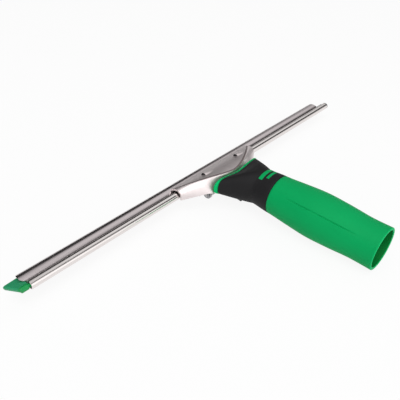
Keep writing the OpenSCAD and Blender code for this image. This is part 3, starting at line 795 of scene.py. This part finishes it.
def moved(line, i, distance):
    """Point i of the line moved outwards along its normal."""
    a, b = line[max(i - 1, 0)], line[min(i + 1, len(line) - 1)]
    dy, dz = b[0] - a[0], b[1] - a[1]
    size = math.hypot(dy, dz) or 1.0
    return (line[i][0] + distance * dz / size, line[i][1] - distance * dy / size)


# ---------------------------------------------------------------- grip

# The grip's axis lies that far above the tube's
GRIP_UP = 9.4
# The green sleeve: its front and its length; its front's radius is the border's
GRIP_FRONT, GRIP_L = -61.0, 84.8
GRIP_END = GRIP_FRONT - GRIP_L
BORDER_R = 15.4
# The neck's length, how far behind its front the waist is, and the waist's radius
NECK_L, WAIST_BACK, WAIST_R = 40.6, 25.4, 14.4
# The neck's front: half its width, its top, its bottom and its corners' radius
FRONT_HALF, FRONT_TOP, FRONT_LOW, FRONT_CORNER = 27.0, 13.2, 2.0, 5.0
# How much sooner than in a straight line the neck narrows, and how its height grows meanwhile
WAIST_LEAD, RISE_POWER = 0.35, 1.5
# The hollow in the neck's top, and the share of the way to the waist over which it ends
SADDLE_DEPTH, SADDLE_HALF, SADDLE_BACK = 2.8, 19.0, 0.6
# The core's rim at the neck's front, the neck's rubber, and how deep the core lies under it
RIM_T, NECK_T, SKIN = 2.6, 1.75, 1.9
# The core inside the sleeve, and the pole's socket in it
CORE_R, LINER_R = 13.25, 12.05
CORE_END = GRIP_END + 12.0
SOCKET_BOTTOM = CORE_END + 58.0
# Boxes cut out of core and rubber, for the trigger's arms, the frame's tang and the spring
SLOT = ((-11.5, -38.0, -30.0), (11.5, 20.0, 4.2))
TANG_SPACE = ((-8.05, -46.0, 7.9), (8.05, -17.8, 9.6))
SPRING_SPACE = ((-3.6, -28.6, 3.0), (3.6, -21.4, 8.0))
# Radii of the sleeve, evenly spaced from its open end to the neck; its bore at the open end, and
# further in, where it sits on the core
SLEEVE_KEYS = (16.0, 15.9, 17.0, 17.6, 16.6, 15.4)
BORE_R, SEAT_R = 14.0, 13.5
# The ridge on each side of the sleeve: its place and half width in degrees, its height, and the
# depth of the fine groove along it
RIDGE_AT, RIDGE_HALF, RIDGE_HEIGHT, RIDGE_GROOVE = 139.5, 22, 0.5, 0.7
# The bars in the neck's top: front edge, length and half width; how far they stand out and go in
BARS = ((-47.0, 3.2, 8.0), (-52.0, 2.4, 5.5))
BAR_OUT, BAR_IN = 0.16, 1.1


def outline_ring(half, tall, corner):
    """A rectangle with round corners, always in the same number of points."""
    centres = [((half - corner) * across, (tall - corner) * up)
               for across, up in ((1, 1), (-1, 1), (-1, -1), (1, -1))]
    ring = []
    for quarter, (cx, cz) in enumerate(centres):
        for angle in spaced(90 * quarter, 90 * quarter + 90, 24):
            c, d = unit(angle)
            ring.append((cx + corner * c, cz + corner * d))
        nx, nz = centres[(quarter + 1) % 4]
        for t in spaced(0.0, 1.0, 16)[1:-1]:
            ring.append((mix(cx, nx, t) + corner * c, mix(cz, nz, t) + corner * d))
    return ring


def neck_section(y, inset):
    """One section of the neck at that place, as points; inset moves it inwards.

    A wide rounded front turns into the round waist, and its top is hollowed behind the cover."""
    back = (NECK_FRONT - y) / WAIST_BACK
    if back < 1:
        k = max(back, 0.0)
        side = mix(FRONT_HALF, WAIST_R, k + WAIST_LEAD * k * (1 - k))
        rise = 1 - (1 - k) ** RISE_POWER
        top = mix(FRONT_TOP, GRIP_UP + WAIST_R, rise)
        low = mix(FRONT_LOW, GRIP_UP - WAIST_R, rise)
        corner = mix(FRONT_CORNER, WAIST_R, k)
    else:
        k = (back - 1) * WAIST_BACK / (NECK_L - WAIST_BACK)
        side = corner = mix(WAIST_R, BORDER_R, smooth(k))
        top, low = GRIP_UP + side, GRIP_UP - side
    half, tall, middle = side - inset, (top - low) / 2 - inset, (top + low) / 2
    corner = max(min(corner - inset, tall, half), 0.2)
    hollow = SADDLE_DEPTH * (1 - smooth(back / SADDLE_BACK))
    section = []
    for x, z in outline_ring(half, tall, corner):
        dip = hollow * (1 - smooth(abs(x) / SADDLE_HALF)) if z > 0 else 0.0
        section.append((x, y, middle + z - dip * max(z, 0.0) / tall))
    return section


def neck_sections(places):
    """The neck's sections at pairs of a place and an inset."""
    return [neck_section(y, inset) for y, inset in places]


def neck_piece():
    """Soft black skin of the neck, from the core's rim to the sleeve."""
    start, end = NECK_FRONT - RIM_T - 0.12, GRIP_FRONT + 0.05
    places = [(start, 1.2), (start, 0.5), (start - 0.12, 0.22), (start - 0.4, 0.05)]
    places += [(y, 0.0) for y in spaced(start - 0.9, GRIP_FRONT + 0.7, 44)]
    places += [(GRIP_FRONT + 0.3, 0.12), (end, 0.45)]
    places += [(y, NECK_T) for y in spaced(end, start, 20)]
    piece("neck_overmould", [skin(neck_sections(places), wrapped=True)], [NECK], "handle",
          ["neck_grip"], crease=50, cuts=[SLOT])


def core_piece():
    """Stiff core of the grip; its rounded rim frames the neck's front, and is lighter, a painted
    highlight.
    """
    front, back, sleeve = NECK_FRONT, NECK_FRONT - RIM_T, GRIP_FRONT + 0.1
    under_sleeve, bore = BORDER_R - CORE_R, BORDER_R - LINER_R
    places = [(front - 0.6, 2.2), (front + 0.04, 2.0), (front + 0.05, 0.7), (front - 0.05, 0.25),
              (front - 0.35, -0.05), (front - 0.8, -0.2), (mix(front, back, 0.6), -0.22),
              (back + 0.35, -0.08), (back + 0.05, 0.3), (back, 0.9)]
    # These rings of the rim get the lighter green, a painted highlight
    rim = range(4, 7)
    places += [(y, SKIN) for y in spaced(back, sleeve, 20)]
    places += [(sleeve, under_sleeve), (CORE_END, under_sleeve), (CORE_END, bore),
               (SOCKET_BOTTOM, bore)]
    rings = neck_sections(places)
    points, faces = skin(rings, caps=(True, True))
    kinds = [int(number // len(rings[0]) in rim) for number in range(len(faces))]
    piece("grip_core", [(points, faces, kinds)], [GREEN, GREEN_PAINTED_HIGHLIGHT], "handle", ["handle_core"],
          crease=60, cuts=[SLOT, TANG_SPACE, SPRING_SPACE])


def sleeve_r(t):
    """Radius of the sleeve at a share t of its length from the open end.

    A smooth curve through the keys, which passes each with the slope between its neighbours."""
    last = len(SLEEVE_KEYS) - 1

    def key(i):
        return SLEEVE_KEYS[min(max(i, 0), last)]

    def slope(i):
        return (key(i + 1) - key(i - 1)) / 2
    i = min(int(t * last), last - 1)
    f = t * last - i
    return ((2 * f ** 3 - 3 * f ** 2 + 1) * key(i) + (f ** 3 - 2 * f ** 2 + f) * slope(i)
            + (3 * f ** 2 - 2 * f ** 3) * key(i + 1) + (f ** 3 - f ** 2) * slope(i + 1))


def sleeve_ridge(y, angle):
    """Height of the soft ridge, with its fine groove, along each side of the sleeve.

    It fades in from the open end and out again before the neck."""
    along = (y - GRIP_END) / GRIP_L
    fade = smooth((along - 0.1) / 0.2) * smooth((0.97 - along) / 0.25)
    height = 0.0
    for middle in (RIDGE_AT, 180 - RIDGE_AT):
        off = abs((angle - middle + 180) % 360 - 180)
        if off < RIDGE_HALF:
            height += RIDGE_HEIGHT * (1 - off / RIDGE_HALF) ** 1.6
        if off < 1:
            height -= RIDGE_GROOVE
    return height * fade


def sleeve_piece():
    """Green sleeve with a rounded lip at its open end."""
    profile = [(GRIP_FRONT - 0.02, SEAT_R), (GRIP_FRONT - 0.02, BORDER_R - 0.6),
               (GRIP_FRONT - 0.15, BORDER_R - 0.2)]
    profile += [(y, sleeve_r((y - GRIP_END) / GRIP_L))
                for y in spaced(GRIP_FRONT - 0.5, GRIP_END + 1.2, 60)]
    lip = len(profile) + 1
    profile += [(GRIP_END + inside, r) for inside, r in (
        (0.7, 16.05), (0.3, 15.95), (0.08, 15.7), (0.0, 15.35), (0.0, 14.75), (0.1, 14.35),
        (0.4, 14.08), (0.9, BORE_R), (12.0, BORE_R), (12.0, SEAT_R))]
    bore = len(profile) - 4
    # The lip gets the lighter green, a painted highlight; the bore gets the darker green, painted
    # shade
    kinds = [2 if i >= bore else 1 if i >= lip else 0 for i in range(len(profile))]
    count = 160
    rings = []
    for s in range(count):
        angle = 360 * s / count
        c, d = unit(angle)
        ring = []
        for y, r in profile:
            wide = r + (sleeve_ridge(y, angle) if r > BORDER_R - 0.2 else 0.0)
            ring.append((wide * c, y, GRIP_UP + wide * d))
        rings.append(ring)
    piece("grip_shell", [(*skin(rings, wrapped=True), kinds * count)],
          [GREEN, GREEN_PAINTED_HIGHLIGHT, GREEN_BORE_PAINTED_SHADE], "handle", ["grip_sleeve"], crease=50)


def bars_piece():
    """Two plain bars let into the top of the neck."""
    steps = 12
    parts = []
    for front, length, half in BARS:
        rings = []
        for i, y in enumerate(spaced(front - length, front, steps)):
            lift = BAR_OUT * min(min(i, steps - i) / 1.5, 1.0)
            upper, lower = neck_section(y, -lift), neck_section(y, BAR_IN)
            rings.append(top_arc(upper, half) + top_arc(lower, half)[::-1])
        parts.append(skin(rings, caps=(True, True)))
    piece("neck_bars", parts, [GREEN], "handle", ["accent_bars"], bevel=0.1)


def top_arc(section, half):
    """Points over the top of a section from -half to half."""
    upper = sorted((p for p in section if p[2] > GRIP_UP), key=lambda p: p[0])
    out = []
    for x in spaced(-half, half, 24):
        k = max(j for j in range(len(upper) - 1) if upper[j][0] <= x)
        a, b = upper[k], upper[k + 1]
        t = (x - a[0]) / (b[0] - a[0])
        out.append((x, a[1], mix(a[2], b[2], t)))
    return out


# ---------------------------------------------------------------- moving clamp

def trigger_piece():
    """Finger plate under the neck, rounded all round, with the block that the arms hold."""
    top, thick = -3.1, 2.2
    plate_half, block_half = 10.5, 7.95
    plate = [(-17.6, top - thick - 1.6), (-17.6, top - 0.1), (-35.0, top - 0.1),
             (-36.0, top - 0.8), (-35.6, top - thick), (-30.0, top - thick + 0.5),
             (-24.0, top - thick - 0.2)]
    block = [(-17.5, top - 0.2), (-17.5, -1.0), (-19.0, -0.6), (-29.5, -0.6), (-31.4, top - 0.2)]
    piece("trigger_lever", [prism(plate, -plate_half, plate_half),
                            prism(block, -block_half, block_half)], [DARK],
          "lower_jaw", ["trigger"], bevel=0.45, crease=22)


def spring_piece():
    """Round wire coil between the tang and the trigger."""
    turns, wire, coil, middle = 4, 0.4, 2.6, -25.0
    low, high, tang = -0.15, 7.516, 7.9
    steps, around = 48, 14
    rings = []
    for i in range(turns * steps + 1):
        c, d = unit(360 * i / steps)
        z = mix(low, high, i / steps / turns)
        ring = []
        for k in range(around):
            a, b = unit(360 * k / around)
            r = coil + wire * a
            ring.append((r * c, middle + r * d, z + wire * b))
        rings.append(ring)
    obj = piece("closing_spring", [skin(rings, caps=(True, True))], [SPRING], "handle",
                ["return_spring"])
    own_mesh(obj)


# ---------------------------------------------------------------- build

channel_piece()
blade_piece()
left_clip_piece()
right_plug_piece()
cover_piece()
neck_piece()
core_piece()
sleeve_piece()
bars_piece()
trigger_piece()
spring_piece()

NODE_FINISHES = {
    "upper_pad": RUBBER, "lower_pad": RUBBER, "head_frame": STEEL, "jaw_rivets": STEEL,
    "tang_pins": STEEL, "socket_liner": DARK, "hinge_pin": STEEL, "pin_clips": SPRING,
    "hinge_bushes": WHITE, "lower_jaw": PRESSED, "trigger_rivets": STEEL,
}
for node_name, node_finish in NODE_FINISHES.items():
    slots = frame["nodes"][node_name].data.materials
    slots.clear()
    slots.append(node_finish)


# ---------------------------------------------------------------- stage, light and camera

def floor():
    """Pale floor that shows white, with the tool's shadow on it."""
    mesh = bpy.data.meshes.new("floor")
    mesh.from_pydata([(-4, -4, 0), (4, -4, 0), (4, 4, 0), (-4, 4, 0)], [], [(0, 1, 2, 3)])
    obj = add_object("floor", mesh)
    obj.location.z = -0.0002
    f = Finish("pale_floor")
    f.set(base_color=(0.86, 0.86, 0.86), roughness=0.9)
    seen = f.ray("Camera").maths("MAXIMUM", f.ray("Glossy")).maths("MAXIMUM", f.ray("Transmission"))
    white = f.node("ShaderNodeEmission", {}, {"Color": (1.0, 1.0, 1.0), "Strength": 1.0})
    both = f.node("ShaderNodeMixShader", {}, {0: seen * 0.9, 1: f.shader.outputs[0], 2: white})
    f.feed(f.tree.nodes["Material Output"].inputs["Surface"], both)
    mesh.materials.append(f.material)


def surroundings():
    """A pale studio, dark in front of the channel's left end and brighter behind the grip.

    Each of its patches is 1 in the directions it's named for, and fades out round them."""
    f = Finish("studio", bpy.data.worlds, "Background")
    bpy.context.scene.world = f.material
    towards = f.node("ShaderNodeTexCoord", output="Generated")
    x, y, z = (Value(f, f.node("ShaderNodeSeparateXYZ", {}, {"Vector": towards}, axis))
               for axis in range(3))
    front = ((y * 1.28 - z + 0.05) / 0.15).clipped() * ((z + 0.35) / 0.3).clipped()
    dark = front * ((y * 0.93 + z * 0.25 - x * 0.3 - 0.25) / 0.3).clipped()
    width = (x * 0.5 + 0.17).maths("MAXIMUM", 0.03)
    strip = ((1 - (z + y * 1.33).maths("ABSOLUTE") / width) * 2.0).clipped()
    overhead = ((x * 0.6 + y * 0.15 + z * 0.78 - 0.92) / 0.03).clipped()
    behind = ((x * 0.1 - y * 0.95 - z * 0.35 - 0.35) / 0.45).clipped()
    above = ((z * 0.6 - y * 0.5 - x * 0.5 - 0.3) / 0.4).clipped()
    level = 0.5 * (1 - dark * 0.94) + overhead * 0.4 + behind * 0.8 + above * 0.34
    level = level * (1 - strip * 0.88)
    seen = f.ray("Camera")
    f.set(strength=level * (1 - seen) + seen, color=(1.0, 1.0, 1.0))


def key_lamp():
    """Square soft lamp high in front of the grip, aimed at the middle of the floor."""
    data = bpy.data.lights.new("key", "AREA")
    data.shape = "SQUARE"
    data.size = 1.0
    data.energy = 9.0
    obj = add_object("key", data)
    obj.location = (-0.5, -0.35, 1.2)
    obj.rotation_euler = obj.location.to_track_quat("Z", "Y").to_euler()


def camera():
    """The camera, from its eye and its three directions in the tool's frame."""
    data = bpy.data.cameras.new("camera")
    data.lens, data.sensor_width = 45.0, 36.0
    data.clip_start, data.clip_end = 0.01, 50
    obj = add_object("camera", data)
    eye = Vector((-269.774, -210.605, 231.121))
    right = Vector((0.66669, -0.743917, 0.045951))
    down = Vector((-0.427421, -0.432101, -0.794103))
    ahead = Vector((0.610602, 0.50978, -0.606044))
    turn = TO_ROW.to_3x3().normalized()
    axes = Matrix([turn @ axis for axis in (right, -down, -ahead)]).transposed()
    obj.matrix_world = Matrix.Translation(TO_ROW @ eye) @ axes.to_4x4()
    bpy.context.scene.camera = obj


floor()
surroundings()
key_lamp()
camera()
bpy.context.scene.view_settings.view_transform = "Standard"
